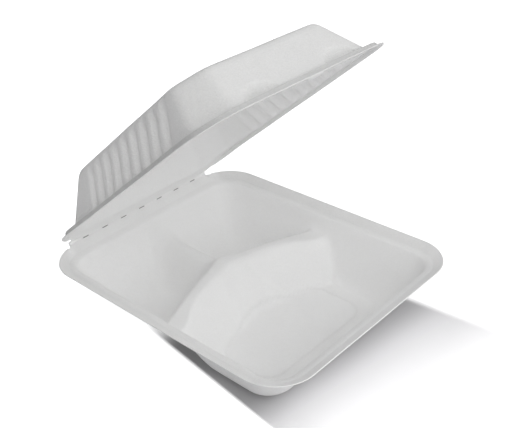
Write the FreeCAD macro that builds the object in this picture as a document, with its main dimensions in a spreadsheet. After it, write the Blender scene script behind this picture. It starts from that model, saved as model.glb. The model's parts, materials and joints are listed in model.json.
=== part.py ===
import FreeCAD, Part
import math
import os
import Sketcher

# Three-compartment clamshell container of moulded bagasse fibre, in millimetres.
# Frame: +Z up, origin at the middle of the tray's resting face, the fold along X at the back,
# the front edge towards -Y. The lid stands partly open on the fold.

# name: (value, what it is)
DIMENSIONS = {
    "tray_width": (200.0, "flange edge to flange edge"),
    "tray_length": (240.6, "fold line to front flange edge"),
    "tray_height": (48.0, "resting face to flange top"),
    "wall": (0.9, "moulded wall, measured square to it"),
    "flange_width": (8.0, "flat flange of the tray"),
    "front_corner_radius": (31.0, "tray flange outline, front corners"),
    "back_corner_radius": (32.0, "tray flange outline, back corners"),
    "rim_drop": (5.0, "short upright wall inside the tray flange"),
    "rim_inset": (1.0, "lean of that short wall"),
    "ledge_width": (2.5, "narrow level ledge below it"),
    "crest_depth": (16.0, "flange top down to the divider crests"),
    "crest_width": (5.0, "flat on top of the dividers"),
    "crest_step": (0.4, "level step in the outer walls at the height of the crests"),
    "crest_back": (98.0, "fold line to the cross divider crest, in the middle"),
    "crest_sweep": (13.0, "degrees that the cross divider leans forward to each side"),
    "crease_sweep": (20.5, "the same for the foot of its front face"),
    "side_draft": (22.0, "degrees, side walls of the upper rim and front compartment"),
    "front_draft": (30.0, "degrees, front wall"),
    "back_draft": (37.5, "degrees, back wall"),
    "back_side_draft": (35.5, "degrees, outer walls of the two back compartments"),
    "divider_draft": (27.0, "degrees, both sides of the centre divider"),
    "cross_front_draft": (39.0, "degrees, front face of the cross divider"),
    "cross_back_draft": (27.0, "degrees, back face of the cross divider"),
    "pocket_corner_radius": (17.0, "upright corners of the compartments"),
    "inner_corner_radius": (9.0, "compartment corners at the dividers"),
    "floor_fillet": (7.0, "compartment floors into their walls"),
    "lid_width": (183.0, "flange edge to flange edge"),
    "lid_length": (245.7, "back flange edge to front flange edge"),
    "lid_back_gap": (2.1, "fold line to the lid's back flange edge outside the fold"),
    "lid_flange_width": (4.5, "flat flange of the lid"),
    "lid_front_corner_radius": (33.7, "lid flange outline, front corners"),
    "lid_back_corner_radius": (35.0, "lid flange outline, back corners"),
    "lid_rise": (4.9, "fold axis to the lid flange's underside, closed"),
    "lid_rim_rise": (2.9, "short upright wall inside the lid flange"),
    "lid_side_ledge": (4.0, "level ledge at the sides of the dome's foot"),
    "lid_front_ledge": (3.7, "the same at the front"),
    "lid_back_ledge": (11.0, "the same at the back"),
    "dome_height": (35.1, "lid flange to the flat top"),
    "dome_side_draft": (24.6, "degrees, ribbed side walls"),
    "dome_front_draft": (29.5, "degrees, front wall"),
    "dome_back_draft": (38.0, "degrees, back wall"),
    "dome_foot_radius": (33.0, "upright corners of the dome at its foot"),
    "dome_top_radius": (24.0, "the same at the top"),
    "dome_fillet": (4.0, "top face into the walls"),
    "rib_count": (9.0, "grooves in each side wall"),
    "rib_pitch": (14.05, "spacing of the grooves"),
    "rib_first": (80.2, "fold line to the hindmost groove"),
    "rib_radius": (2.4, "round section of a groove"),
    "rib_start": (2.0, "grooves begin this far above the ledge"),
    "rib_stop": (5.0, "and end this far below the top face"),
    "recess_offset": (37.0, "middle line to each arched recess at the front wall's foot"),
    "recess_radius": (17.0, "round outline of a recess"),
    "recess_height": (10.0, "arch above the foot"),
    "recess_depth": (1.6, "how far a recess goes in"),
    "web_width": (148.0, "length of the fold"),
    "fold_gap": (0.3, "clearance round the fold bead"),
    "notch_radius": (2.5, "round notches at both ends of the fold"),
    "slot_count": (7.0, "perforations along the fold"),
    "slot_pitch": (19.0, "spacing of the perforations"),
    "slot_length": (5.5, "length of one perforation"),
    "nub_width": (14.0, "moulded nub under the lid's front flange"),
    "nub_length": (3.0, "nub, front to back"),
    "nub_drop": (1.2, "nub below the flange"),
    "open_angle": (39.2, "degrees that the lid stands open"),
}

doc = FreeCAD.newDocument("clamshell")
sheet = doc.addObject("Spreadsheet::Sheet", "dims")
for row, (name, (value, note)) in enumerate(DIMENSIONS.items(), start=1):
    sheet.set(f"A{row}", name)
    sheet.set(f"B{row}", str(value))
    sheet.set(f"C{row}", note)
    sheet.setAlias(f"B{row}", name)
doc.recompute()


class Size:
    """A number together with the sheet expression that it follows."""

    def __init__(self, value, text):
        self.value = value
        self.text = text

    def __add__(self, other):
        other = as_size(other)
        return Size(self.value + other.value, f"({self.text} + {other.text})")

    def __sub__(self, other):
        other = as_size(other)
        return Size(self.value - other.value, f"({self.text} - {other.text})")

    def __mul__(self, other):
        other = as_size(other)
        return Size(self.value * other.value, f"{self.text} * {other.text}")

    def __truediv__(self, other):
        other = as_size(other)
        return Size(self.value / other.value, f"{self.text} / {other.text}")

    def __neg__(self):
        return Size(-self.value, f"(-1 * {self.text})")


def as_size(value):
    return value if isinstance(value, Size) else Size(value, str(value))


def tan(angle):
    return Size(math.tan(math.radians(angle.value)), f"tan({angle.text})")


def cos(angle):
    return Size(math.cos(math.radians(angle.value)), f"cos({angle.text})")


def dim(name):
    return Size(float(sheet.get(name)), f"dims.{name}")


ZERO = as_size(0.0)
wall = dim("wall")


def bind(feature, **properties):
    """Ties properties of a feature to sheet expressions; a dot in a path is written as two underscores."""
    for path, size in properties.items():
        feature.setExpression(path.replace("__", "."), size.text)


def outline(body, name, level, corners):
    """A closed sketch at a level, through corners (x, y, radius) that run anticlockwise."""
    sketch = body.newObject("Sketcher::SketchObject", name)
    plane = [f for f in body.Origin.OriginFeatures if f.Role == "XY_Plane"][0]
    sketch.AttachmentSupport = (plane, [""])
    sketch.MapMode = "FlatFace"
    bind(sketch, AttachmentOffset__Base__z=level)
    points = [FreeCAD.Vector(x.value, y.value, 0) for x, y, radius in corners]
    count = len(corners)
    ends = []
    for i, (x, y, radius) in enumerate(corners):
        arriving = (points[i] - points[i - 1]).normalize()
        leaving = (points[(i + 1) % count] - points[i]).normalize()
        if radius is None:
            ends.append((points[i], points[i], None))
            continue
        turn = arriving.getAngle(leaving)
        reach = radius.value * math.tan(turn / 2)
        start = points[i] - arriving * reach
        centre = start + FreeCAD.Vector(-arriving.y, arriving.x, 0) * radius.value
        ends.append((start, points[i] + leaving * reach, centre))
    lines = []
    for i in range(count):
        segment = Part.LineSegment(ends[i][1], ends[(i + 1) % count][0])
        lines.append(sketch.addGeometry(segment, False))
    for i, (x, y, radius) in enumerate(corners):
        before, after = lines[i - 1], lines[i]
        start, end, centre = ends[i]
        corner = sketch.addGeometry(Part.Point(points[i]), True)
        if radius is None:
            sketch.addConstraint(Sketcher.Constraint("Coincident", before, 2, after, 1))
            sketch.addConstraint(Sketcher.Constraint("Coincident", corner, 1, after, 1))
        else:
            circle = Part.Circle(centre, FreeCAD.Vector(0, 0, 1), radius.value)
            first = math.atan2(start.y - centre.y, start.x - centre.x)
            last = math.atan2(end.y - centre.y, end.x - centre.x)
            arc = sketch.addGeometry(Part.ArcOfCircle(circle, first, last), False)
            sketch.addConstraint(Sketcher.Constraint("Tangent", before, 2, arc, 1))
            sketch.addConstraint(Sketcher.Constraint("Tangent", arc, 2, after, 1))
            sketch.addConstraint(Sketcher.Constraint("PointOnObject", corner, 1, before))
            sketch.addConstraint(Sketcher.Constraint("PointOnObject", corner, 1, after))
            number = sketch.addConstraint(Sketcher.Constraint("Radius", arc, radius.value))
            name_and_bind(sketch, number, f"radius_{i}", radius)
        number = sketch.addConstraint(Sketcher.Constraint("DistanceX", -1, 1, corner, 1, x.value))
        name_and_bind(sketch, number, f"x_{i}", x)
        number = sketch.addConstraint(Sketcher.Constraint("DistanceY", -1, 1, corner, 1, y.value))
        name_and_bind(sketch, number, f"y_{i}", y)
    return sketch


def name_and_bind(sketch, number, name, size):
    sketch.renameConstraint(number, name)
    sketch.setExpression(f"Constraints.{name}", size.text)


def form(name, sections, fillet=None, rounded=None):
    """A solid lofted down through outlines, listed from the top, with the edge at one level rounded."""
    body = doc.addObject("PartDesign::Body", name)
    sketches = []
    for number, (level, corners) in enumerate(sections, start=1):
        sketches.append(outline(body, f"{name}_outline_{number}", level, corners))
    loft = body.newObject("PartDesign::AdditiveLoft", f"{name}_loft")
    loft.Profile = (sketches[0], [""])
    loft.Sections = [(sketch, [""]) for sketch in sketches[1:]]
    loft.Ruled = True
    doc.recompute()
    if fillet is not None:
        edge_round = body.newObject("PartDesign::Fillet", f"{name}_fillet")
        edge_round.Base = (loft, level_edges(loft.Shape, rounded.value))
        bind(edge_round, Radius=fillet)
        doc.recompute()
    return body


def level_edges(shape, level):
    """Names of the edges that lie wholly at one height."""
    names = []
    for number, edge in enumerate(shape.Edges, start=1):
        box = edge.BoundBox
        if abs(box.ZMin - level) < 0.001 and abs(box.ZMax - level) < 0.001:
            names.append(f"Edge{number}")
    return names


def rectangle(half_width, front, back, front_radius, back_radius):
    """Corners of a rounded rectangle, symmetrical about the YZ plane."""
    return [
        (-half_width, front, front_radius),
        (half_width, front, front_radius),
        (half_width, back, back_radius),
        (-half_width, back, back_radius),
    ]


def plate(name, top, thickness, corners):
    """A flat plate with a level top face."""
    body = doc.addObject("PartDesign::Body", name)
    sketch = outline(body, f"{name}_outline", top, corners)
    pad = body.newObject("PartDesign::Pad", f"{name}_pad")
    pad.Profile = sketch
    pad.Reversed = True
    bind(pad, Length=thickness)
    doc.recompute()
    return body


def fuse(name, shapes):
    joined = doc.addObject("Part::MultiFuse", name)
    joined.Shapes = shapes
    joined.Refine = True
    doc.recompute()
    return joined


def common(name, base, tool):
    """What two solids share."""
    shared = doc.addObject("Part::Common", name)
    shared.Base = base
    shared.Tool = tool
    shared.Refine = False
    doc.recompute()
    return shared


def cut(name, base, tool):
    remainder = doc.addObject("Part::Cut", name)
    remainder.Base = base
    remainder.Tool = tool
    remainder.Refine = False
    doc.recompute()
    return remainder


def box(name, length, width, height, x, y, z):
    """A block with its lowest corner at x, y, z."""
    block = doc.addObject("Part::Box", name)
    bind(block, Length=length, Width=width, Height=height)
    bind(block, Placement__Base__x=x, Placement__Base__y=y, Placement__Base__z=z)
    return block


def cylinder(name, radius, length, x, y, z, axis=None, angle=None):
    """A round bar that starts at x, y, z and runs along Z, turned about an axis by an angle."""
    bar = doc.addObject("Part::Cylinder", name)
    bind(bar, Radius=radius, Height=length)
    if axis is not None:
        bar.Placement = FreeCAD.Placement(FreeCAD.Vector(), FreeCAD.Rotation(axis, angle.value))
        bind(bar, Placement__Rotation__Angle=angle)
    bind(bar, Placement__Base__x=x, Placement__Base__y=y, Placement__Base__z=z)
    return bar


X_AXIS = FreeCAD.Vector(1, 0, 0)
Y_AXIS = FreeCAD.Vector(0, 1, 0)

# Places that both halves share: the fold axis runs along X at this y and z.
tray_height = dim("tray_height")
fold_y = dim("tray_length") / 2
bead_radius = wall / 2
fold_z = tray_height - bead_radius
fold_clearance = bead_radius + dim("fold_gap")
# A cutter this long passes right through a wall.
through = wall * 3


# ---------------------------------------------------------------- tray
half_width = dim("tray_width") / 2
front_y = -fold_y
back_y = fold_y - fold_clearance
flange = dim("flange_width")
rim_bottom = tray_height - dim("rim_drop")
crest = tray_height - dim("crest_depth")
half_crest = dim("crest_width") / 2
crest_y = fold_y - dim("crest_back")
pocket_radius = dim("pocket_corner_radius")
inner_radius = dim("inner_corner_radius")


def inset_outline(inset):
    """The tray's flange outline moved inwards."""
    return rectangle(
        half_width - inset, front_y + inset, back_y - inset,
        dim("front_corner_radius") - inset, dim("back_corner_radius") - inset,
    )


def upper_outline(level, skin):
    """The drafted rim above the dividers; skin is 0 for its inside and the wall for its outside."""
    inset = flange + dim("rim_inset") + dim("ledge_width")
    depth = rim_bottom - level
    side = half_width - inset - depth * tan(dim("side_draft")) + skin / cos(dim("side_draft"))
    front = front_y + inset + depth * tan(dim("front_draft")) - skin / cos(dim("front_draft"))
    back = back_y - inset - depth * tan(dim("back_draft")) + skin / cos(dim("back_draft"))
    return rectangle(side, front, back, pocket_radius + skin, pocket_radius + skin)


def front_outline(level, skin, sweep):
    """The front compartment; its back edge is a shallow V that leans forward to each side."""
    depth = crest - level
    inset = flange + dim("rim_inset") + dim("ledge_width") + dim("crest_step")
    drop = rim_bottom - level
    side = half_width - inset - drop * tan(dim("side_draft")) + skin / cos(dim("side_draft"))
    front = front_y + inset + drop * tan(dim("front_draft")) - skin / cos(dim("front_draft"))
    draft = dim("cross_front_draft")
    middle = crest_y - half_crest - depth * tan(draft) + skin / cos(draft)
    corner = middle - side * tan(sweep)
    return [
        (-side, front, pocket_radius + skin),
        (side, front, pocket_radius + skin),
        (side, corner, inner_radius + skin),
        (ZERO, middle, None),
        (-side, corner, inner_radius + skin),
    ]


def back_outline(level, skin, hand):
    """One back compartment, on the left for hand -1 and on the right for hand 1."""
    depth = crest - level
    inset = flange + dim("rim_inset") + dim("ledge_width") + dim("crest_step")
    shoulder = half_width - inset - (rim_bottom - crest) * tan(dim("side_draft"))
    outer = shoulder - depth * tan(dim("back_side_draft")) + skin / cos(dim("back_side_draft"))
    inner = half_crest + depth * tan(dim("divider_draft")) - skin / cos(dim("divider_draft"))
    back = back_y - inset - (rim_bottom - level) * tan(dim("back_draft")) + skin / cos(dim("back_draft"))
    draft = dim("cross_back_draft")
    middle = crest_y + half_crest + depth * tan(draft) - skin / cos(draft)
    sweep = tan(dim("crest_sweep"))
    corners = [
        (inner, middle - inner * sweep, inner_radius + skin),
        (outer, middle - outer * sweep, inner_radius + skin),
        (outer, back, pocket_radius + skin),
        (inner, back, inner_radius + skin),
    ]
    if hand < 0:
        corners = [(-x, y, radius) for x, y, radius in reversed(corners)]
    return corners


def tray_forms(skin, name):
    """The rim and the three compartments, as the space inside (skin 0) or the form round it (skin = wall)."""
    floor = wall - skin
    lip = flange - skin
    fillet = dim("floor_fillet") + skin
    crease = dim("crease_sweep")
    sweep = dim("crest_sweep")
    rim = form(f"{name}_rim", [
        (tray_height, inset_outline(lip)),
        (rim_bottom - skin, inset_outline(lip + dim("rim_inset"))),
    ])
    upper = form(f"{name}_upper", [
        (rim_bottom, upper_outline(rim_bottom, skin)),
        (crest - skin, upper_outline(crest - skin, skin)),
    ])
    front = form(f"{name}_front", [
        (crest, front_outline(crest, skin, sweep)),
        (floor, front_outline(floor, skin, crease)),
    ], fillet, floor)
    left = form(f"{name}_left", [
        (crest, back_outline(crest, skin, -1)),
        (floor, back_outline(floor, skin, -1)),
    ], fillet, floor)
    right = form(f"{name}_right", [
        (crest, back_outline(crest, skin, 1)),
        (floor, back_outline(floor, skin, 1)),
    ], fillet, floor)
    return [rim, upper, front, left, right]


tray_plate = plate("tray_flange", tray_height, wall, inset_outline(ZERO))
tray_outside = fuse("tray_outside", [tray_plate] + tray_forms(wall, "tray_outer"))

# Round notches in the back edge, one at each end of the fold.
tray_cuts = []
for side, sign in (("left", -1), ("right", 1)):
    x = (dim("web_width") / 2 + dim("notch_radius")) * sign
    tray_cuts.append(cylinder(
        f"tray_notch_{side}", dim("notch_radius"), through, x, back_y, tray_height - wall * 2))
tray_inside = fuse("tray_inside", tray_forms(ZERO, "tray_inner") + tray_cuts)
tray = cut("tray", tray_outside, tray_inside)


# ---------------------------------------------------------------- lid
# The lid is drawn closed about its own origin on the fold axis, then turned open by its Placement.
lid_half = dim("lid_width") / 2
lid_lip = dim("lid_flange_width")
lid_back = -dim("lid_back_gap")
lid_front = lid_back - dim("lid_length")
lid_bottom = dim("lid_rise")
lid_flange = lid_bottom + wall
lid_ledge = lid_bottom + dim("lid_rim_rise")
dome_top = lid_flange + dim("dome_height")


def lid_inset(inset):
    """The lid's flange outline moved inwards."""
    return rectangle(
        lid_half - inset, lid_front + inset, lid_back - inset,
        dim("lid_front_corner_radius") - inset, dim("lid_back_corner_radius") - inset,
    )


def dome_outline(level, skin, radius):
    """The dome above the ledge; skin is the wall for its outside and 0 for the space inside."""
    rise = level - lid_ledge
    inset = lid_lip + dim("rim_inset")
    side_draft = dim("dome_side_draft")
    front_draft = dim("dome_front_draft")
    back_draft = dim("dome_back_draft")
    side = lid_half - inset - dim("lid_side_ledge") - rise * tan(side_draft) + skin / cos(side_draft)
    front = lid_front + inset + dim("lid_front_ledge") + rise * tan(front_draft) - skin / cos(front_draft)
    back = lid_back - inset - dim("lid_back_ledge") - rise * tan(back_draft) + skin / cos(back_draft)
    return rectangle(side, front, back, radius + skin, radius + skin)


def lid_forms(skin, name):
    """The lid's rim and dome, as the space inside (skin 0) or the form round it (skin = wall)."""
    lip = lid_lip - skin
    top = dome_top - wall + skin
    rim = form(f"{name}_rim", [
        (lid_ledge + skin, lid_inset(lip + dim("rim_inset"))),
        (lid_bottom, lid_inset(lip)),
    ])
    dome = form(f"{name}_dome", [
        (top, dome_outline(top, skin, dim("dome_top_radius"))),
        (lid_ledge, dome_outline(lid_ledge, skin, dim("dome_foot_radius"))),
    ], dim("dome_fillet") + skin, top)
    return [rim, dome]


def rib_bars(skin, name):
    """Round bars along both side walls: grooves for skin 0, the ridges they leave inside for skin = wall."""
    draft = dim("dome_side_draft")
    low = lid_ledge + dim("rib_start") - skin
    high = dome_top - dim("rib_stop") + skin
    length = (high - low) / cos(draft)
    x = lid_half - lid_lip - dim("rim_inset") - dim("lid_side_ledge")
    x = x - (low - lid_ledge) * tan(draft) + wall / cos(draft)
    bars = []
    for number in range(int(dim("rib_count").value)):
        y = -(dim("rib_first") + dim("rib_pitch") * number)
        for side, sign in (("left", -1), ("right", 1)):
            bars.append(cylinder(
                f"{name}_{side}_{number + 1}", dim("rib_radius") + skin, length,
                x * sign, y, low, Y_AXIS, draft * (-sign)))
    return bars


def recesses(skin, name):
    """Arched recesses in the front wall's foot: round discs leaning with the wall, kept above the ledge."""
    draft = dim("dome_front_draft")
    front = lid_front + lid_lip + dim("rim_inset") + dim("lid_front_ledge") - wall / cos(draft)
    # The middle of a disc lies below the foot, so that only its upper arch meets the wall.
    below = (dim("recess_radius") - dim("recess_height")) * cos(draft)
    reach = dim("recess_depth") * 3
    y = front - below * tan(draft) - reach * cos(draft)
    z = lid_ledge - below + reach * tan(draft) * cos(draft)
    discs = []
    for side, sign in (("left", -1), ("right", 1)):
        discs.append(cylinder(
            f"{name}_disc_{side}", dim("recess_radius") + skin, reach + dim("recess_depth") + skin,
            dim("recess_offset") * sign, y, z, X_AXIS, -(draft + 90)))
    keep = box(
        f"{name}_above_ledge", dim("lid_width"), dim("dome_height"), dim("dome_height"),
        -lid_half, lid_front, lid_ledge + wall - skin)
    return common(name, fuse(f"{name}_discs", discs), keep)


lid_plate = plate("lid_flange", lid_flange, wall, lid_inset(ZERO))
lid_outside = fuse("lid_outside", [lid_plate] + lid_forms(wall, "lid_outer"))
lid_form = cut(
    "lid_form", lid_outside, fuse("lid_hollows", rib_bars(ZERO, "groove") + [recesses(ZERO, "recess")]))
lid_space = cut(
    "lid_space", fuse("lid_inside", lid_forms(ZERO, "lid_inner")),
    fuse("lid_bulges", rib_bars(wall, "ridge") + [recesses(wall, "bulge")]))
lid_shell = cut("lid_shell", lid_form, lid_space)

# The fold: a strip from the lid's back edge down to a full-round bead on the fold axis.
web = dim("web_width")
bead = cylinder("fold_bead", bead_radius, web, -web / 2, ZERO, ZERO, Y_AXIS, as_size(90.0))
strip = box("fold_strip", web, wall, lid_bottom + bead_radius, -web / 2, -bead_radius, ZERO)
ledge = box(
    "fold_ledge", web, dim("lid_back_gap") + lid_lip / 2, wall,
    -web / 2, lid_back - lid_lip / 2, lid_bottom)
nub_y = lid_front + lid_lip / 2 - dim("nub_length") / 2
nub = box(
    "closing_nub", dim("nub_width"), dim("nub_length"), dim("nub_drop") + wall / 2,
    -dim("nub_width") / 2, nub_y, lid_bottom - dim("nub_drop"))
lid_whole = fuse("lid_whole", [lid_shell, bead, strip, ledge, nub])

slots = []
for number in range(int(dim("slot_count").value)):
    x = dim("slot_pitch") * number - (dim("slot_count") - 1) * dim("slot_pitch") / 2
    slots.append(box(
        f"perforation_{number + 1}", dim("slot_length"), through, wall * 2,
        x - dim("slot_length") / 2, -through / 2, -wall))
lid = cut("lid", lid_whole, fuse("perforations", slots))
lid.Placement = FreeCAD.Placement(FreeCAD.Vector(), FreeCAD.Rotation(X_AXIS, -dim("open_angle").value))
bind(lid, Placement__Rotation__Angle=-dim("open_angle"))
bind(lid, Placement__Base__y=fold_y, Placement__Base__z=fold_z)
doc.recompute()


# ---------------------------------------------------------------- check and write
for feature in doc.Objects:
    if "Invalid" in feature.State or "Error" in feature.State:
        raise SystemExit(f"{feature.Name} did not build")
os.makedirs("parts", exist_ok=True)
for piece in (tray, lid):
    if piece.Shape.isNull() or not piece.Shape.isValid():
        raise SystemExit(f"{piece.Label} is not a valid shape")
    print(piece.Label, len(piece.Shape.Solids), "solid, volume", round(piece.Shape.Volume / 1000, 2), "cm3")
for piece in (tray, lid):
    piece.Shape.exportStep(f"parts/{piece.Label}.step")
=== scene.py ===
import json
import math
import bpy
import numpy as np
from mathutils import Matrix, Vector


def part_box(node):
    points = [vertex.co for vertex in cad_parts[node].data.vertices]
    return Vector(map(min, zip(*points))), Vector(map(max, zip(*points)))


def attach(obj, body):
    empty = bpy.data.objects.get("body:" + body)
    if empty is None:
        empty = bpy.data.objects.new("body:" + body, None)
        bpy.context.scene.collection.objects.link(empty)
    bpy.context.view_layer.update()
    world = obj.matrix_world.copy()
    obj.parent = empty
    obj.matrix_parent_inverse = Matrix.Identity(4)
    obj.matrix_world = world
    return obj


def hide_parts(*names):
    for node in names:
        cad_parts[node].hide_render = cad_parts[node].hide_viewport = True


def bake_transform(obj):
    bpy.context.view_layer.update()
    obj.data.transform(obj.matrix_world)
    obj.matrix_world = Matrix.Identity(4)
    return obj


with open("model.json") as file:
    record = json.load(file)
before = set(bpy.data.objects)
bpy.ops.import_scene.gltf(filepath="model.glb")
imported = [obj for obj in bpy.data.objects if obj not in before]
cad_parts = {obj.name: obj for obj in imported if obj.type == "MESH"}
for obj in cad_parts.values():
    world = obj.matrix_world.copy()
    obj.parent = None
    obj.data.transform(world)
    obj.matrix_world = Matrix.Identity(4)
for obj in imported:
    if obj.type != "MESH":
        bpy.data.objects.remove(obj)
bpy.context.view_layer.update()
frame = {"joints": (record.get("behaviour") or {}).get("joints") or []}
mm = 0.001

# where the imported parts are, in millimetres
trayLow, trayHigh = [np.array(corner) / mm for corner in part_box("tray")]
hinge = frame["joints"][0]
foldPoint = np.array(hinge["pos_m"]) / mm
openAngle = math.radians(-hinge["range_deg"][0])
print("frame loaded, tray from", trayLow, "to", trayHigh)

# what tray, fold and lid share
sheet = {
    "wall": 0.9,              # square to the surface
    "edge": 0.36,             # radius of the rolled free edges
    "foldHalf": 74.0,         # half the length of the fold
    "foldFade": (14.0, 12.0),     # the rims change towards the fold from so far beyond its ends, over this
    "notch": 2.5,             # radius of the notch at each end of the fold
    "rings": 100,             # rings of the grid between edge and middle
    "calm": 60.0,             # the sheet is even so near the fold, and fully uneven twice as far off
}
wall = sheet["wall"]
webHalf = sheet["foldHalf"]


# helpers for moulded sheets
def softMax(a, b, reach):
    # the larger of two heights, plus reach / 4 * (1 - difference / reach)^2 where they differ by less
    near = np.clip(1 - np.abs(a - b) / reach, 0, 1)
    return np.maximum(a, b) + near**2 * reach / 4


def softMin(a, b, reach):
    # the smaller of two heights, rounded in the same way: minus softMax of -a and -b
    return -softMax(-a, -b, reach)


def smooth(t):
    # the smooth step 3 t^2 - 2 t^3 from zero to one
    t = np.clip(t, 0, 1)
    return t * t * (3 - 2 * t)


def cot(degrees):
    # rise over run of a wall that leans so far from upright
    return 1 / math.tan(math.radians(degrees))


def wander(x, y, seed, length, waves=9):
    # slow unevenness: a few sine waves of about one length in random directions, height within about one
    rng = np.random.default_rng(seed)
    total = np.zeros_like(x)
    for angle, phase, stretch in rng.uniform((0, 0, 0.7), (2 * math.pi, 2 * math.pi, 1.6), (waves, 3)):
        along = x * math.cos(angle) + y * math.sin(angle)
        total += np.sin(along * 2 * math.pi / (length * stretch) + phase)
    return total / math.sqrt(waves * 2)


def roundedProfile(corners, radii, steps):
    # a line through corners (inset, height) with arcs of the given radii in the inner corners
    points = [np.array(corners[0], float)]
    for k in range(1, len(corners) - 1):
        corner = np.array(corners[k], float)
        arriving, leaving = corner - corners[k - 1], np.array(corners[k + 1], float) - corner
        arriving, leaving = arriving / np.linalg.norm(arriving), leaving / np.linalg.norm(leaving)
        turn = math.acos(np.clip(arriving @ leaving, -1, 1))
        reach = radii[k - 1] * math.tan(turn / 2)
        side = np.sign(arriving[0] * leaving[1] - arriving[1] * leaving[0])
        inward = side * np.array([-arriving[1], arriving[0]])
        for angle in np.linspace(0, turn, steps):
            points.append(corner - arriving * reach + radii[k - 1] * (
                inward * (1 - math.cos(angle)) + arriving * math.sin(angle)))
    points.append(np.array(corners[-1], float))
    return np.array(points)


def roundBoxDistance(x, y, half, front, back, radius):
    # distance outside a rounded rectangle, less than zero inside: the length of (qx, qy) beyond its
    # straight part, less the corner radius
    qx = np.abs(x) - (half - radius)
    qy = np.abs(y - (front + back) / 2) - ((back - front) / 2 - radius)
    return np.hypot(np.maximum(qx, 0), np.maximum(qy, 0)) + np.minimum(np.maximum(qx, qy), 0) - radius


def draftedHeight(x, y, low, high, outlineAt, distance=roundBoxDistance):
    # height at which leaning walls pass through x, y: halving steps on the outline's distance at each level
    widths = [outlineAt(level)[0] for level in (low, high)]
    shrinksUp = widths[1] < widths[0]
    bottom, top = np.full_like(x, low), np.full_like(x, high)
    for halving in range(26):     # to far below a micron
        middle = (bottom + top) / 2
        inside = distance(x, y, *outlineAt(middle)) < 0
        goUp = inside if shrinksUp else ~inside
        bottom, top = np.where(goUp, middle, bottom), np.where(goUp, top, middle)
    return (bottom + top) / 2


def ringSheet(outline, rimProfile):
    # a square grid laid over a rounded rectangle in rings: the outer rings keep the profile's distances from
    # the edge, the inner ones shrink towards the middle, and the grid's corners run up the corner arcs
    half, front, back, frontRadius, backRadius = outline
    rings = sheet["rings"]
    rimCount = len(rimProfile)
    size = np.arange(-rings, rings + 1)
    cx, cy = np.meshgrid(size, size, indexing="ij")
    reach = np.maximum(np.abs(cx), np.abs(cy))
    ring = rings - reach
    inset, rim = (np.interp(ring, np.arange(rimCount), column) for column in rimProfile.T)
    # fine rings beside the rim, then wider ones
    inner = np.clip(ring - rimCount + 1, 0, None) / (rings - rimCount + 1)
    shrink = 1 - (0.62 * inner + 0.38 * inner**2)
    length = (back - front) / 2
    a = (half - inset) * shrink
    b = (length - inset) * shrink
    r = (np.where(cy < 0, frontRadius, backRadius) - inset) * shrink
    upright = np.abs(cx) >= np.abs(cy)
    t = np.where(upright, np.abs(cy), np.abs(cx)) / np.maximum(reach, 1)
    straight = np.where(upright, b, a) - r
    run = t * (straight + math.pi * r / 4)
    angle = np.clip(run - straight, 0, None) / np.maximum(r, 1e-9)
    along = np.where(run < straight, run, straight + r * np.sin(angle))
    across = np.where(upright, a, b) - np.where(run < straight, 0, r * (1 - np.cos(angle)))
    x = np.where(upright, across * np.sign(cx), along * np.sign(cx))
    y = np.where(upright, along * np.sign(cy), across * np.sign(cy)) + (front + back) / 2
    return x, y, ring, inset, rim


def gridNormals(points):
    # unit cross product of the differences along the grid's two directions
    du = np.gradient(points, axis=0)
    dv = np.gradient(points, axis=1)
    normal = np.cross(du, dv)
    return normal / np.maximum(np.linalg.norm(normal, axis=2, keepdims=True), 1e-12)


def closedSheet(name, top, bottom, keep=None):
    # a wall between two grids of points, closed round its edge and round every hole that keep leaves out
    ni, nj = top.shape[:2]
    keep = np.ones((ni - 1, nj - 1), bool) if keep is None else keep
    over = np.arange(ni * nj).reshape(ni, nj)
    under = over + ni * nj
    i, j = np.nonzero(keep)
    upper = np.stack([over[i, j], over[i + 1, j], over[i + 1, j + 1], over[i, j + 1]], 1)
    lower = np.stack([under[i, j + 1], under[i + 1, j + 1], under[i + 1, j], under[i, j]], 1)
    edged = np.zeros((ni + 1, nj + 1), bool)
    edged[1:-1, 1:-1] = keep
    sides, holed = [], []
    for di, dj, first, second in ((1, 0, (1, 0), (1, 1)), (-1, 0, (0, 1), (0, 0)),
                                  (0, 1, (1, 1), (0, 1)), (0, -1, (0, 0), (1, 0))):
        p, q = np.nonzero(keep & ~edged[1 + di:ni + di, 1 + dj:nj + dj])
        start, end = (p + first[0], q + first[1]), (p + second[0], q + second[1])
        sides.append(np.stack([over[start], under[start], under[end], over[end]], 1))
        holed.append((p + di >= 0) & (p + di < ni - 1) & (q + dj >= 0) & (q + dj < nj - 1))
    faces = np.concatenate([upper, lower] + sides)
    mesh = bpy.data.meshes.new(name)
    points = np.concatenate([top.reshape(-1, 3), bottom.reshape(-1, 3)]) * mm
    used = np.unique(faces)
    renumber = np.zeros(len(points), np.int64)
    renumber[used] = np.arange(len(used))
    mesh.from_pydata(points[used].tolist(), [], renumber[faces].tolist())
    mesh.polygons.foreach_set("use_smooth", np.ones(len(faces), bool))
    finish = np.zeros(len(faces), np.int32)
    finish[len(upper):len(upper) + len(lower)] = 1
    finish[len(upper) + len(lower):][np.concatenate(holed)] = 2
    mesh.polygons.foreach_set("material_index", finish)
    mesh.update()
    mesh.set_sharp_from_angle(angle=math.radians(62))
    piece = bpy.data.objects.new(name, mesh)
    bpy.context.scene.collection.objects.link(piece)
    print(name, "has", len(upper) * 4 + sum(len(s) for s in sides) * 2, "triangles")
    return piece


def paintShadeOnFaces(piece, amount):
    # painted shade: how much darker the fibre is coloured at each point of the grid, the same on both faces
    attribute = piece.data.attributes.new("archAndPaintedShade", "FLOAT", "POINT")
    attribute.data.foreach_set("value", np.tile(amount.ravel(), 2).astype(np.float32))


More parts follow.
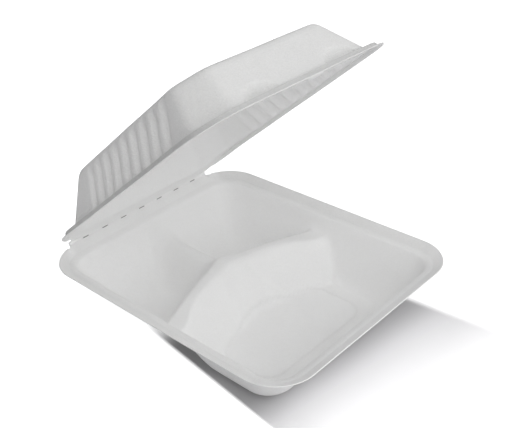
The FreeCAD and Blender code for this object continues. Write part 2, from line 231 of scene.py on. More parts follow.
def rolledEdge(inset, radius, free):
    # how far each face draws back towards the middle of the wall at its free edge, on a quarter circle:
    # radius * (1 - sqrt(1 - t^2)), with t falling from one at the edge to zero one radius further in
    t = np.clip(1 - inset / radius, 0, 1)
    return radius * (1 - np.sqrt(1 - t**2)) * free


def wallFaces(x, y, z, inset, free):
    # the wall's upper face through the points, and its lower face one wall below along the normals, both
    # drawn together where the edge is free
    top = np.stack([x, y, z], 2)
    normal = gridNormals(top)
    roll = rolledEdge(inset, sheet["edge"], free)[..., None]
    return top - normal * roll, top - normal * (wall - roll)


def freeEdge(x, y, middleY):
    # one where the edge is free, zero along the fold: in the back half a smooth step of |x| - half the fold
    return np.where(y < middleY, 1, smooth(np.abs(x) - webHalf))


def notchDepth(x):
    # how far the half-round notches beside the fold cut in: sqrt(radius^2 - distance from their middle^2)
    fromNotch = np.abs(np.abs(x) - webHalf - sheet["notch"])
    return np.sqrt(np.clip(sheet["notch"]**2 - fromNotch**2, 0, None))


def alongFold(x):
    # one along the fold, with a smooth step down to zero beyond its ends
    begin, over = sheet["foldFade"]
    return smooth((webHalf + begin - np.abs(x)) / over)


def offTheFold(x, y):
    # zero near the middle of the fold's line, with a smooth step up to one
    return smooth((np.hypot(x, y) - sheet["calm"]) / sheet["calm"])


# tray
tray = {
    "flange": 8.0,            # its width
    "frontRadius": 31.0,      # corners of its outline
    "backRadius": 32.0,
    "flangeFall": 0.56,       # it sinks inwards by this share of its width
    "flangeBend": (6.0, 0.7, 1.4),    # the bend into the rim: from, short of the full width, radius
    "notchReach": 6.0,        # the notches fade within this
    "rimDrop": 4.8,           # from the outer edge down to the ledge inside the flange
    "rimRun": 1.0,            # the rim's lean
    "ledge": 3.2,
    "rimSoft": 1.4,           # how softly the walls meet the ledge
    "pocketRadius": 17.5,
    "sideDraft": 22.0,
    "frontDraft": 30.0,
    "backDraft": 37.5,
    "backSideDraft": 35.5,    # the side walls of the two back compartments
    "backSideSoft": (2.0, 4.0),   # they run round into the front face: drop, softness
    "backCorner": (4.0, 11.0, 55.0, 15.0),    # their softness: at the sides, added at the back, from, over
    "crestDepth": 16.0,
    "crestRise": 0.8,         # the crest's middle above that
    "crestFall": (2.5, 38.0, 42.0),       # its ends below its middle: by, from, over
    "crestBehind": (85.7, 0.34, 8.0),     # divider: fold line to the back edge of its crest, lean, bend
    "crestBefore": (95.3, 0.36, 20.0),    # the same for the front edge of the crest
    "foot": (122.0, 0.38, 10.0),          # and for the crease at its foot
    "crestWiden": (7.0, 48.0, 26.0),      # the front edge comes forward at the walls: by, from, over
    "frontSoft": (1.5, 11.0),     # the front face runs round into the side walls: lift, softness
    "crestSoft": (5.0, 6.0),      # the crest's front and back edge
    "crossSoft": 6.0,             # the divider's foot at the back and sides
    "backSlope": 1.96,
    "centreSlope": 1.96,
    "centrePeak": 43.0,
    "centreSoft": (30.0, 8.0, 17.0),      # the centre divider's ridge, front end and foot
    "floorSoft": (13.0, 3.0, 9.0),        # the floor's edge: in front, more behind, less at the crease
    "floorSpread": 10.0,
    "panel": (54.0, 189.0, 15.0, 7.0),    # floor panel: half width, front, front and back corners
    "groove": (0.5, 1.1),     # its depth and half width
    "waves": (0.13, 46.0),    # unevenness of the sheet: height, length
    "grooveShade": 0.7,       # painted shade: the groove and the rim are coloured darker
    "rimShade": 1.5,
    "shadeEdge": (1.0, 4.0),      # the painted rim shade ends so far down the walls, over this height
    "paleFront": (26.3, 14.0),    # and fades towards the front: from, over
}
height = trayHigh[2]
frontY, backY = trayLow[1], trayHigh[1]
halfWidth = trayHigh[0]
flange = tray["flange"]
rimBottom = height - tray["rimDrop"]
rimInset = flange + tray["rimRun"] + tray["ledge"]


def flangeAt(inset):
    # height of the flange so far from its edge
    return height - tray["flangeFall"] * inset


insets = np.array([0, 0.06, 0.18, 0.36, 0.9, 1.8, 2.8, 3.8, 4.8, 5.8])      # closer at the rolled edge
bendFrom, bendShort, bendRadius = tray["flangeBend"]
shoulder = roundedProfile(
    [(bendFrom, flangeAt(bendFrom)), (flange - bendShort, flangeAt(flange - bendShort)),
     (rimInset, rimBottom)], [bendRadius], 9)
rimProfile = np.concatenate([np.stack([insets, flangeAt(insets)], 1), shoulder])
x, y, ring, inset, rim = ringSheet(
    (halfWidth, frontY, backY, tray["frontRadius"], tray["backRadius"]), rimProfile)


def pocketOutline(level):
    # the compartments' outline at a level: the ledge's, drawn in by the drop over the draft's cotangent
    drop = rimBottom - level
    return (halfWidth - rimInset - drop / cot(tray["sideDraft"]),
            frontY + rimInset + drop / cot(tray["frontDraft"]),
            backY - rimInset - drop / cot(tray["backDraft"]), tray["pocketRadius"])


def bentLine(place, lean, bend):
    # y of a line across the tray: so far from the fold in the middle, and lean * sqrt(x^2 + bend^2) more
    return foldPoint[1] - place - lean * np.sqrt(x**2 + bend**2)


walls = draftedHeight(x, y, -18.0, rimBottom + 30, pocketOutline)      # from well below to well above
crest = height - tray["crestDepth"]
fall, fallFrom, fallOver = tray["crestFall"]
crestTop = crest + tray["crestRise"] - fall * smooth((np.abs(x) - fallFrom) / fallOver)
behindY, beforeY, footY = (bentLine(*tray[line]) for line in ("crestBehind", "crestBefore", "foot"))
widening, widenFrom, widenOver = tray["crestWiden"]
beforeY = beforeY - widening * smooth((np.abs(x) - widenFrom) / widenOver)
crossFront = wall + (y - footY) * (crestTop - wall) / (beforeY - footY)
crossBack = crestTop - (y - behindY) * tray["backSlope"]
lift, frontSoft = tray["frontSoft"]
cross = softMin(softMax(crossFront, walls - lift, frontSoft), crestTop, tray["crestSoft"][0])
cross = softMin(cross, crossBack, tray["crestSoft"][1])
ridgeSoft, endSoft, footSoft = tray["centreSoft"]
centre = tray["centrePeak"] - tray["centreSlope"] * softMax(x, -x, ridgeSoft)
centre = softMin(centre, crossFront, endSoft)
shoulderX = halfWidth - rimInset - (rimBottom - crest) / cot(tray["sideDraft"])
outer = crest - (shoulderX - np.abs(x)) * cot(tray["backSideDraft"])
drop, outerSoft = tray["backSideSoft"]
outer = softMin(outer, crossFront - drop, outerSoft)
sideSoft, cornerSoft, cornerFrom, cornerOver = tray["backCorner"]
inside = softMax(walls, outer, sideSoft + cornerSoft * smooth((y - cornerFrom) / cornerOver))
inside = softMax(inside, cross, tray["crossSoft"])
inside = softMax(inside, centre, footSoft)
behind = smooth((y - beforeY) / tray["floorSpread"])
atCrease = smooth((crossFront - walls) / tray["floorSpread"]) * (1 - behind)
floorSoft, moreBehind, lessAtCrease = tray["floorSoft"]
inside = softMax(inside, np.full_like(x, wall), floorSoft + moreBehind * behind - lessAtCrease * atCrease)

# the floor panel of the front compartment ends at the divider's foot, and has a fine groove round it
half, front, frontRadius, backRadius = tray["panel"]
besides = roundBoxDistance(x, y, half, foldPoint[1] - front, backY / 2, frontRadius) + backRadius
behinds = y - footY + backRadius
offPanel = (np.hypot(np.maximum(besides, 0), np.maximum(behinds, 0))
            + np.minimum(np.maximum(besides, behinds), 0) - backRadius)
grooveDepth, grooveHalf = tray["groove"]
grooved = np.exp(-(offPanel / grooveHalf)**2)
z = softMin(rim, inside - grooveDepth * grooved, tray["rimSoft"])
free = freeEdge(x, y, 0)
y = y - notchDepth(x) * (y > 0) * np.clip(1 - inset / tray["notchReach"], 0, 1)
waveHeight, waveLength = tray["waves"]
z = z + waveHeight * wander(x, y, 3, waveLength) * offTheFold(x, y - backY)
top, under = wallFaces(x, y, z, inset, free)
under[..., 2] = np.maximum(under[..., 2], 0)        # the foot stands flat
trayShell = closedSheet("tray_shell", top, under)
# painted shade: the rim and the groove round the floor panel are coloured darker, the rim less towards the
# front and not along the fold
shadeFrom, shadeOver = tray["shadeEdge"]
paleFrom, paleOver = tray["paleFront"]
onRim = smooth((walls - rimBottom + shadeFrom) / shadeOver)
onRim = onRim * (1 - smooth((paleFrom + frontY - y) / paleOver))
offFold = 1 - alongFold(x) * (y > backY / 2)
paintShadeOnFaces(trayShell, tray["grooveShade"] * grooved + tray["rimShade"] * offFold * onRim)
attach(trayShell, "tray")
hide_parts("tray")


# lid, in its own axes: the fold is the x axis and the closed lid reaches towards -y
lid = {
    "half": 91.5,
    "length": 245.7,
    "backGap": 2.1,           # fold axis to its back edge
    "rise": 4.9,              # fold axis to the flange's underside, closed
    "flange": 4.5,
    "frontRadius": 33.7,
    "backRadius": 35.0,
    "notchReach": 4.0,        # the notches fade within this
    "rimRise": 2.9,
    "rimRun": 1.0,            # the rim's lean
    "rimBends": (0.8, 0.5),   # radii at its foot and top
    "sideLedge": 4.0,
    "frontLedge": 3.7,
    "backLedge": 11.0,
    "domeHeight": 35.1,
    "domeSoft": (1.6, 5.5),   # how softly the dome meets the ledge and ends in its flat top
    "sideDraft": 24.6,
    "frontDraft": 29.5,
    "backDraft": 38.0,
    "footRadius": 34.0,
    "topRadius": 25.0,
    "facet": 0.75,            # how flat the upright corners are
    "facetCut": 0.9,          # how far the flats cut into the round corner
    "facetSoft": 3.0,
    "ribs": 9,
    "ribPitch": 14.05,
    "ribFirst": 80.2,         # fold axis to the hindmost groove
    "ribDepth": 3.1,
    "ribHalf": 6.0,
    "ribSharp": 1.5,          # above one, the ridges are wider than the grooves
    "ribEnds": (0.3, 3.0, 4.5),       # the grooves end so near the wall's foot and top, fading over these
    "recessOffset": 37.0,
    "recessRadius": 17.0,
    "recessHeight": 10.0,
    "recessDepth": 2.6,
    "recessEdge": (0.5, 1.6),
    "foldRamp": (34.0, 14.0),     # the rim has its step from so far off the fold, fading over this
    "droop": (3.2, 46.0),     # the back sinks to the fold by this much, over this distance
    "nub": (7.0, 1.5, 1.2),   # half width, half length, drop of the small closing nub
    "nubPlace": 2.25,         # its middle from the front edge
    "nubEdge": 0.8,
    "waves": (0.10, 52.0),    # unevenness of the sheet: height, length
    "rimShade": 1.5,          # painted shade: the rim is coloured darker
    "shadeEdge": (1.5, 2.0),      # that begins so far below the ledge, over this height
}
lidBack = -lid["backGap"]
lidFront = lidBack - lid["length"]
lidMiddle = (lidBack + lidFront) / 2
flangeTop = lid["rise"] + wall
ledgeTop = flangeTop + lid["rimRise"]
domeTop = flangeTop + lid["domeHeight"]
rimStart = lid["flange"]
rimEnd = rimStart + lid["rimRun"]
backRun = rimEnd + lid["backLedge"]       # back edge to the dome's foot
insets = np.array([0, 0.06, 0.18, 0.36, 0.9, 1.7])
shoulder = roundedProfile(
    [(2.3, flangeTop), (rimStart - wall, flangeTop), (rimEnd - wall, ledgeTop), (rimStart + wall, ledgeTop)],
    lid["rimBends"], 6)
rimProfile = np.concatenate([np.stack([insets, np.full_like(insets, flangeTop)], 1), shoulder])
x, y, ring, inset, rim = ringSheet(
    (lid["half"], lidFront, lidBack, lid["frontRadius"], lid["backRadius"]), rimProfile)
fromFold = -y
frontHalf = y < lidMiddle


def facetBoxDistance(x, y, half, front, back, radius):
    # roundBoxDistance with its corners partly pressed to flats, where (qx + qy) / sqrt 2 + cut is the radius
    qx = np.abs(x) - (half - radius)
    qy = np.abs(y - (front + back) / 2) - ((back - front) / 2 - radius)
    across = (qx + qy) * math.sqrt(0.5) + lid["facetCut"]
    flat = softMax(softMax(qx, qy, lid["facetSoft"]), across, lid["facetSoft"]) - radius
    return roundBoxDistance(x, y, half, front, back, radius) * (1 - lid["facet"]) + flat * lid["facet"]


def domeOutline(level):
    # the dome's outline at a level: the ledge's, drawn in by the rise over the draft's cotangent
    rise = level - (ledgeTop - wall)
    share = rise / (domeTop - ledgeTop + wall)
    leans = [wall / math.cos(math.radians(lid[side + "Draft"])) - rise / cot(lid[side + "Draft"])
             for side in ("side", "front", "back")]
    return (lid["half"] - rimEnd - lid["sideLedge"] + leans[0],
            lidFront + rimEnd + lid["frontLedge"] - leans[1],
            lidBack - backRun + leans[2],
            lid["footRadius"] + (lid["topRadius"] - lid["footRadius"]) * share)


def domeHeight(x, y):
    # height of the dome's walls at x, y, past its ledge and its top
    return draftedHeight(x, y, ledgeTop - 14, domeTop + 14, domeOutline, facetBoxDistance)


def droop(distance):
    # how far the lid lies below its plane at a distance from the fold: a parabola
    deep, reach = lid["droop"]
    return deep * np.clip(1 - distance / reach, 0, 1)**2


def opened(points):
    # from the closed lid's own axes on the fold to where it stands: a turn by the open angle
    turn = np.array([[1, 0, 0], [0, math.cos(openAngle), math.sin(openAngle)],
                     [0, -math.sin(openAngle), math.cos(openAngle)]])
    return points @ turn.T + foldPoint


# ribs in the side walls: raised cosines, pushed in square to the wall
plain = domeHeight(x, y)
ribPlace = (fromFold - lid["ribFirst"]) / lid["ribPitch"]
ribNumber = np.clip(np.round(ribPlace), 0, lid["ribs"] - 1)
ribSide = np.abs(ribPlace - ribNumber) * lid["ribPitch"] / lid["ribHalf"]
groove = (0.5 + 0.5 * np.cos(np.pi * np.clip(ribSide, 0, 1)))**lid["ribSharp"]
ribEnd, footFade, topFade = lid["ribEnds"]
upWall = smooth((plain - ledgeTop - ribEnd) / footFade) * smooth((domeTop - ribEnd - plain) / topFade)
ribShift = lid["ribDepth"] * groove * upWall / math.cos(math.radians(lid["sideDraft"]))
onSide = np.abs(x) > 40
# two arches in the front wall, pushed in likewise
upFront = (plain - ledgeTop) / math.cos(math.radians(lid["frontDraft"]))
below = lid["recessRadius"] - lid["recessHeight"]
arch = lid["recessRadius"] - np.hypot(np.abs(x) - lid["recessOffset"], upFront + below)
archEdge, archFade = lid["recessEdge"]
archAndPaintedShade = smooth((arch + archEdge) / archFade) * frontHalf
archShift = lid["recessDepth"] * archAndPaintedShade / math.cos(math.radians(lid["frontDraft"]))
footSoft, topSoft = lid["domeSoft"]
dome = domeHeight(x + np.sign(x) * ribShift * onSide, y - archShift)
dome = softMin(dome, np.full_like(x, domeTop), topSoft)
# at the fold the rim has no step: it runs straight up from the edge to the dome's foot
rampFrom, rampOver = lid["foldRamp"]
atFold = alongFold(x) * smooth((rampFrom - fromFold) / rampOver)
ramp = flangeTop + (ledgeTop - flangeTop) * np.clip(inset / backRun, 0, 1)
rim = rim + (ramp - rim) * atFold
z = np.where(ring < len(rimProfile), rim, softMax(dome, rim, footSoft))
nubWide, nubLong, nubDrop = lid["nub"]
nubEdge = lid["nubEdge"]
onNub = (smooth((nubWide + nubEdge - np.abs(x)) / (2 * nubEdge)) * frontHalf
         * smooth((nubLong + nubEdge - np.abs(inset - lid["nubPlace"])) / (2 * nubEdge)))
z = z - nubDrop * onNub
y = y - notchDepth(x) * ~frontHalf * np.clip(1 - inset / lid["notchReach"], 0, 1)
waveHeight, waveLength = lid["waves"]
z = z + waveHeight * wander(x, y, 8, waveLength) * offTheFold(x, y) - droop(-y)
top, under = wallFaces(x, y, z, inset, freeEdge(x, y, lidMiddle))
lidShell = closedSheet("lid_shell", opened(top), opened(under))
# painted shade: the arches and the rim are coloured darker than the rest of the fibre
shadeFrom, shadeOver = lid["shadeEdge"]
onRim = 1 - smooth((plain - ledgeTop + shadeFrom) / shadeOver)
paintShadeOnFaces(lidShell, archAndPaintedShade * (inset > rimStart) + lid["rimShade"] * onRim * (1 - atFold))
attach(lidShell, "lid")
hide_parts("lid")


# fold
fold = {
    "slots": 7,
    "pitch": 19.4,
    "length": 5.5,
    "place": 1.2,             # perforations this far along the curl
    "slit": 0.30,             # and half their height
    "slant": (1.0, 0.9),      # how far they slant towards the lid on their way through, and over what reach
    "pull": 3.6,              # how far the curl keeps the flanges' directions
    "grid": (145, 41),        # points along the fold and round the curl
    "crowd": 1.25,            # above one, they lie closer on the tray's side
    "waves": (0.12, 30.0),    # unevenness of the curl: height, length
    "calmEnds": (62.0, 9.0),  # from so far out it is even, fading over this
}
slotX = (np.arange(fold["slots"]) - (fold["slots"] - 1) / 2) * fold["pitch"]
slotEdges = np.concatenate([slotX - fold["length"] / 2, slotX + fold["length"] / 2])
acrossX = np.union1d(np.linspace(-webHalf, webHalf, fold["grid"][0]), slotEdges)
start = np.array([backY - foldPoint[1], 0.0])
endRise = lid["rise"] + wall / 2 - droop(lid["backGap"])
end = opened(np.array([0, lidBack, endRise]))[1:] - foldPoint[1:]
rampSlope = lid["rimRise"] / backRun + droop(lid["backGap"]) - droop(lid["backGap"] + 1)
endAngle = openAngle + math.atan(rampSlope)
heading = np.array([-math.cos(endAngle), math.sin(endAngle)])
leaving = np.array([1.0, tray["flangeFall"]]) / math.hypot(1, tray["flangeFall"])
# the curl: a smooth cubic from the tray's flange edge round to the lid's, along the flanges at both ends
t = (np.linspace(0, 1, fold["grid"][1])**fold["crowd"])[:, None]
middle = ((1 - t)**2 * (1 + 2 * t) * start + t**2 * (3 - 2 * t) * end
          + t * (1 - t)**2 * fold["pull"] * leaving - t**2 * (1 - t) * fold["pull"] * heading)
tangent = np.gradient(middle, axis=0)
tangent[0], tangent[-1] = leaving, heading
tangent /= np.linalg.norm(tangent, axis=1, keepdims=True)
outward = np.stack([-tangent[:, 1], tangent[:, 0]], 1)
run = np.concatenate([[0], np.cumsum(np.linalg.norm(np.diff(middle, axis=0), axis=1))])
waveHeight, waveLength = fold["waves"]
calmFrom, calmOver = fold["calmEnds"]
bend = waveHeight * wander(acrossX, acrossX * 0, 5, waveLength) * (
    1 - smooth((np.abs(acrossX) - calmFrom) / calmOver))
arc = np.sin(np.pi * t[:, 0])[None, :] * bend[:, None]
# near the perforations the outer face's points lie nearer the lid, so that a slit slants through the wall
slant, slantReach = fold["slant"]
shifted = run + slant * np.exp(-((run - fold["place"]) / slantReach)**2) * smooth(run / slantReach)
sheets = []
for side, at in ((wall / 2, run), (-wall / 2, shifted)):
    profile = np.stack([np.interp(at, run, (middle + outward * side)[:, k]) for k in (0, 1)], 1)
    sheets.append(np.stack([
        np.repeat(acrossX[:, None], len(t), 1),
        foldPoint[1] + profile[None, :, 0] + arc, foldPoint[2] + profile[None, :, 1] - arc * 0.3], 2))
midX = (acrossX[:-1] + acrossX[1:]) / 2
midRun = (run[:-1] + run[1:]) / 2
onSlot = (np.abs(midX[:, None] - slotX[None, :]) < fold["length"] / 2).any(1)
onSlit = np.abs(midRun - fold["place"]) < fold["slit"]
foldWeb = closedSheet("fold_web", sheets[0], sheets[1], ~(onSlot[:, None] & onSlit[None, :]))
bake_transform(foldWeb)


# moulded fibre, with the painted shade of rims, groove and arches
fibre = {
    "cloud": (38.0, 3.0, 0.55),       # noise: waves per metre, detail, roughness
    "clump": (330.0, 3.0, 0.60),
    "grain": (1150.0, 2.0, 0.60),
    "tone": (0.45, 0.45, 1.7, -0.8),  # how much of each darkens the tone, and a shift
    "strand": (210.0, 1.0, 0.4, 1.6), # stray fibres: noise as above, and its distortion
    "strandHalf": 0.016,              # their half width in the noise's own values
    "screen": 5600.0,                 # waves of the forming screen, radians per metre
    "relief": (0.9, 0.75, 0.10),      # heights of clumps, grain and stray fibres
    "dull": (0.82, 0.96),             # roughness between clumps and on them
    "bump": 0.85,
    "glint": 0.28,
    "fuzz": 0.04,
    "softLight": (0.5, 0.0012),       # light let through the surface: share, depth in metres
}


def link(tree, pairs):
    # joins each output to its input
    for source, target in pairs:
        tree.links.new(source, target)


def node(tree, kind, inputs=None, **settings):
    # a node with its settings made, and its inputs linked or filled
    made = tree.nodes.new(kind)
    for key, value in settings.items():
        setattr(made, key, value)
    for key, value in (inputs or {}).items():
        if isinstance(value, bpy.types.NodeSocket):
            tree.links.new(value, made.inputs[key])
        else:
            made.inputs[key].default_value = value
    return made


def mathNode(tree, operation, *values, **settings):
    # the result of one math node on numbers or sockets
    filled = dict(enumerate(values))
    return node(tree, "ShaderNodeMath", filled, operation=operation, **settings).outputs[0]


def noise(tree, place, scale, detail, roughness, distortion=0.0):
    # fractal noise at a place
    return node(tree, "ShaderNodeTexNoise", {
        "Vector": place, "Scale": scale, "Detail": detail, "Roughness": roughness,
        "Distortion": distortion}).outputs["Fac"]


def fibreGroup():
    # clumps, grain, stray fibres and the imprint of the forming screen, from Object coordinates in metres
    tree = bpy.data.node_groups.new("pressedFibre", "ShaderNodeTree")
    for name, side, kind in (("Screen", "INPUT", "Float"), ("Pale", "INPUT", "Color"),
                             ("Dark", "INPUT", "Color"), ("Color", "OUTPUT", "Color"),
                             ("Roughness", "OUTPUT", "Float"), ("Height", "OUTPUT", "Float")):
        tree.interface.new_socket(name, in_out=side, socket_type="NodeSocket" + kind)
    given = node(tree, "NodeGroupInput")
    result = node(tree, "NodeGroupOutput")
    place = node(tree, "ShaderNodeTexCoord").outputs["Object"]
    cloud, clump, grain = (noise(tree, place, *fibre[part]) for part in ("cloud", "clump", "grain"))
    # a stray fibre lies where the distorted noise passes its middle value
    strand = noise(tree, place, *fibre["strand"])
    away = mathNode(tree, "ABSOLUTE", mathNode(tree, "SUBTRACT", strand, 0.5))
    stray = node(tree, "ShaderNodeMapRange", {
        "Value": away, "From Min": 0.0, "From Max": fibre["strandHalf"], "To Min": 1.0, "To Max": 0.0})
    # the screen: sine waves along the three axes, added
    waves = node(tree, "ShaderNodeVectorMath", {0: place, 1: (fibre["screen"],) * 3}, operation="MULTIPLY")
    waves = node(tree, "ShaderNodeVectorMath", {0: waves.outputs[0]}, operation="SINE")
    mesh = node(tree, "ShaderNodeVectorMath", {0: waves.outputs[0], 1: (1.0, 1.0, 1.0)},
                operation="DOT_PRODUCT")
    # heights added up in shares of the Bump distance
    height = mathNode(tree, "MULTIPLY", mesh.outputs["Value"], given.outputs["Screen"])
    for part, share in zip((clump, grain, stray.outputs[0]), fibre["relief"]):
        height = mathNode(tree, "MULTIPLY_ADD", part, share, height)
    # tones added up between pale and dark, and past dark by the painted shade in the attribute
    *shares, tone = fibre["tone"]
    for part, share in zip((cloud, clump, grain), shares):
        tone = mathNode(tree, "MULTIPLY_ADD", part, share, tone, use_clamp=part == grain)
    # painted shade, read from the attribute on the sheets
    paintedShadeAmount = node(tree, "ShaderNodeAttribute", attribute_name="archAndPaintedShade").outputs["Fac"]
    tint = node(tree, "ShaderNodeMix", {
        0: mathNode(tree, "ADD", paintedShadeAmount, tone), 6: given.outputs["Pale"], 7: given.outputs["Dark"]},
        data_type="RGBA", clamp_factor=False)
    smoothest, dullest = fibre["dull"]
    rough = node(tree, "ShaderNodeMapRange", {
        "Value": clump, "From Min": 0.3, "From Max": 0.7, "To Min": smoothest, "To Max": dullest})
    link(tree, [(tint.outputs[2], result.inputs["Color"]), (rough.outputs[0], result.inputs["Roughness"]),
                (height, result.inputs["Height"])])
    return tree


fibreTree = fibreGroup()


def fibreMaterial(name, screen, pale, dark, depth, throughLight=fibre["softLight"][0]):
    # a Principled shader over the fibre group, with the screen's share, two tones and the relief's depth
    material = bpy.data.materials.new(name)
    material.use_nodes = True
    tree = material.node_tree
    shader = tree.nodes["Principled BSDF"]
    group = node(tree, "ShaderNodeGroup", node_tree=fibreTree)
    group.inputs["Screen"].default_value = screen
    group.inputs["Pale"].default_value = (*pale, 1)
    group.inputs["Dark"].default_value = (*dark, 1)
    bump = node(tree, "ShaderNodeBump", {
        "Strength": fibre["bump"], "Distance": depth, "Height": group.outputs["Height"]})
    link(tree, [(group.outputs["Color"], shader.inputs["Base Color"]),
                (group.outputs["Roughness"], shader.inputs["Roughness"]),
                (bump.outputs["Normal"], shader.inputs["Normal"])])
    shader.inputs["Specular IOR Level"].default_value = fibre["glint"]
    shader.inputs["Sheen Weight"].default_value = fibre["fuzz"]
    shader.inputs["Subsurface Weight"].default_value = throughLight
    shader.inputs["Subsurface Radius"].default_value = (1.0, 1.0, 1.0)
    shader.inputs["Subsurface Scale"].default_value = fibre["softLight"][1]
    return material


# painted shade: the screen side, which is the lid's outside, is coloured darker than the smooth side of the
# same fibre; its screen relief is real
smoothFace = fibreMaterial("pressedFace", 0.03, (0.985, 0.985, 0.980), (0.915, 0.915, 0.910), 0.00027)
screenFace = fibreMaterial("screenFace", 0.10, (0.915, 0.915, 0.910), (0.815, 0.815, 0.810), 0.00026)
# painted shade: the sides of the perforations are coloured nearly black, for the shade inside the slits
paintedSlitShade = fibreMaterial("paintedSlitShade", 0.0, (0.16, 0.16, 0.16), (0.12, 0.12, 0.12), 0.00005, 0.0)
# a sheet's upper face and edges, its lower face, and the sides of its holes, painted dark as shade; the
# lid's upper face is outside
for piece, finishes in ((trayShell, (smoothFace, screenFace)), (lidShell, (screenFace, smoothFace)),
                        (foldWeb, (smoothFace, screenFace, paintedSlitShade))):
    for finish in finishes:
        piece.data.materials.append(finish)
print("materials made")


# floor, light and camera
studio = {
    "fill": 0.43,             # even light from all round
    "tilt": 0.66,             # more of it from here, less from opposite
    "tiltTowards": (0.00, -1.00, 0.00),
    "key": (0.66, (-0.15, -0.45, 1.00), 70),     # strength, towards the lamp, softness in degrees
    "rear": (0.10, (0.08, 0.5, 1.0), 18),
    "floorHalf": 6.0,
    "floor": (0.895, 0.890, 0.905),
    "floorGlow": 0.85,        # a camera sees this glow added around the painted shadow
    # the painted shadow's sides: x at y = 0, its change with y, and the distance in which they fade, in
    # metres
    "shadowLeft": (-0.0738, 0.131, 0.004),
    "shadowRight": (0.0840, -0.105, -0.012),
    # its ends: y at x = 0, the distance in which they fade, the change of y with x
    "shadowFront": (-0.217, 0.138, 0.21),
    "shadowBack": (0.060, -0.050, 0.0),
    "paintedContactShadow": (-0.112, 0.036, 0.10),     # painted contact shadow: towards the foot the floor's colour darkens likewise
    "contactShade": 0.64,     # to this share
}
floorMesh = bpy.data.meshes.new("floor")
floorMesh.from_pydata([(cx * studio["floorHalf"], cy * studio["floorHalf"], 0)
                       for cx, cy in ((-1, -1), (1, -1), (1, 1), (-1, 1))], [], [(0, 1, 2, 3)])
floor = bpy.data.objects.new("floor", floorMesh)
bpy.context.scene.collection.objects.link(floor)
floorPaint = bpy.data.materials.new("floorPaint")
floorPaint.use_nodes = True
tree = floorPaint.node_tree
tree.nodes.clear()
place = node(tree, "ShaderNodeSeparateXYZ", {0: node(tree, "ShaderNodeTexCoord").outputs["Object"]})


def edgeMask(value, begin, reach):
    # a smooth step of value from zero at begin to one at begin + reach
    return node(tree, "ShaderNodeMapRange", {"Value": value, "From Min": begin, "From Max": begin + reach},
                interpolation_type="SMOOTHSTEP").outputs[0]


def sideMask(offset, slant, reach):
    # the step across the line x = offset + slant * y
    across = mathNode(tree, "MULTIPLY_ADD", place.outputs["Y"], -slant, place.outputs["X"])
    return edgeMask(across, offset, reach)


def endMask(begin, reach, lean):
    # the step across the line y = begin - lean * x
    along = mathNode(tree, "MULTIPLY_ADD", place.outputs["X"], lean, place.outputs["Y"])
    return edgeMask(along, begin, reach)


def whiteWhereSeen(tree, plain, white, *kinds):
    # the first shader, and the second one for the kinds of ray that look at the backdrop
    rays = node(tree, "ShaderNodeLightPath").outputs
    seen = rays["Is Camera Ray"]
    for kind in kinds:
        seen = mathNode(tree, "MAXIMUM", seen, rays[kind])
    return node(tree, "ShaderNodeMixShader", {
        0: seen, 1: plain.outputs[0], 2: white.outputs[0]}).outputs[0]


# painted shadow: outside this outline the camera sees the floor glow white, inside it the floor's own
# shading, and towards the foot a darker floor colour as well
paintedShadowOutline = sideMask(*studio["shadowLeft"])
for edge, values in ((sideMask, "shadowRight"), (endMask, "shadowFront"), (endMask, "shadowBack")):
    paintedShadowOutline = mathNode(tree, "MULTIPLY", paintedShadowOutline, edge(*studio[values]))
strength = mathNode(tree, "MULTIPLY_ADD", paintedShadowOutline, -studio["floorGlow"], studio["floorGlow"])
paintedContactShadow = mathNode(tree, "MULTIPLY", paintedShadowOutline, endMask(*studio["paintedContactShadow"]))
dimmed = [share * studio["contactShade"] for share in studio["floor"]]
dimmer = node(tree, "ShaderNodeMix", {0: paintedContactShadow, 6: (*studio["floor"], 1), 7: (*dimmed, 1)},
              data_type="RGBA")
paint = node(tree, "ShaderNodeBsdfDiffuse", {"Color": dimmer.outputs[2]})
glow = node(tree, "ShaderNodeEmission", {"Color": (1, 1, 1, 1), "Strength": strength})
none = node(tree, "ShaderNodeEmission", {"Strength": 0.0})
glow = whiteWhereSeen(tree, none, glow, "Is Glossy Ray", "Is Transmission Ray")
both = node(tree, "ShaderNodeAddShader", {0: paint.outputs[0], 1: glow})
node(tree, "ShaderNodeOutputMaterial", {"Surface": both.outputs[0]})
floorMesh.materials.append(floorPaint)

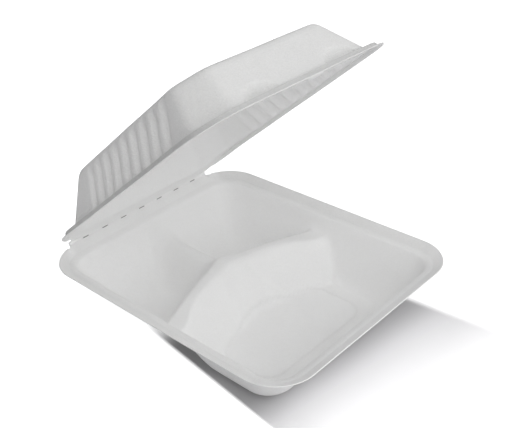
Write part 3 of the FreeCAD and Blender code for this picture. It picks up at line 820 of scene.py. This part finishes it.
world = bpy.data.worlds.new("studio")
bpy.context.scene.world = world
world.use_nodes = True
tree = world.node_tree
tree.nodes.clear()
direction = node(tree, "ShaderNodeTexCoord").outputs["Generated"]
facing = node(tree, "ShaderNodeVectorMath", {0: direction, 1: studio["tiltTowards"]},
              operation="DOT_PRODUCT")
amount = mathNode(tree, "MULTIPLY_ADD", facing.outputs["Value"], studio["tilt"], studio["fill"])
around = node(tree, "ShaderNodeBackground", {"Color": (1, 1, 1, 1), "Strength": amount})
white = node(tree, "ShaderNodeBackground", {"Color": (1, 1, 1, 1), "Strength": 1.0})
node(tree, "ShaderNodeOutputWorld", {"Surface": whiteWhereSeen(tree, around, white, "Is Glossy Ray")})

for name in ("key", "rear"):
    strength, towards, softness = studio[name]
    lamp = bpy.data.lights.new(name, "SUN")
    lamp.energy = strength
    lamp.angle = math.radians(softness)
    holder = bpy.data.objects.new(name, lamp)
    holder.rotation_euler = Vector(towards).to_track_quat("Z", "Y").to_euler()
    bpy.context.scene.collection.objects.link(holder)

view = {
    "place": (-371.8, -371.1, 393.7),
    "azimuth": -46.08,
    "elevation": 30.46,
    "roll": -3.16,
    "focal": 58.7953,         # for a picture 36 mm wide
}
az, el, roll = (math.radians(view[key]) for key in ("azimuth", "elevation", "roll"))
back = Vector((math.sin(az) * math.cos(el), -math.cos(az) * math.cos(el), math.sin(el)))
right = Vector((math.cos(az), math.sin(az), 0))
up = back.cross(right)
right, up = (right * math.cos(roll) + up * math.sin(roll), up * math.cos(roll) - right * math.sin(roll))
lens = bpy.data.cameras.new("camera")
lens.sensor_fit = "HORIZONTAL"
lens.sensor_width = 36.0
lens.lens = view["focal"]
lens.clip_start, lens.clip_end = 0.01, 100
lens.dof.use_dof = False
camera = bpy.data.objects.new("camera", lens)
turned = Matrix((right, up, back)).transposed().to_4x4()
camera.matrix_world = Matrix.Translation(Vector(view["place"]) * mm) @ turned
bpy.context.scene.collection.objects.link(camera)
bpy.context.scene.camera = camera
bpy.context.scene.view_settings.view_transform = "Standard"
print("stage, light and camera ready")
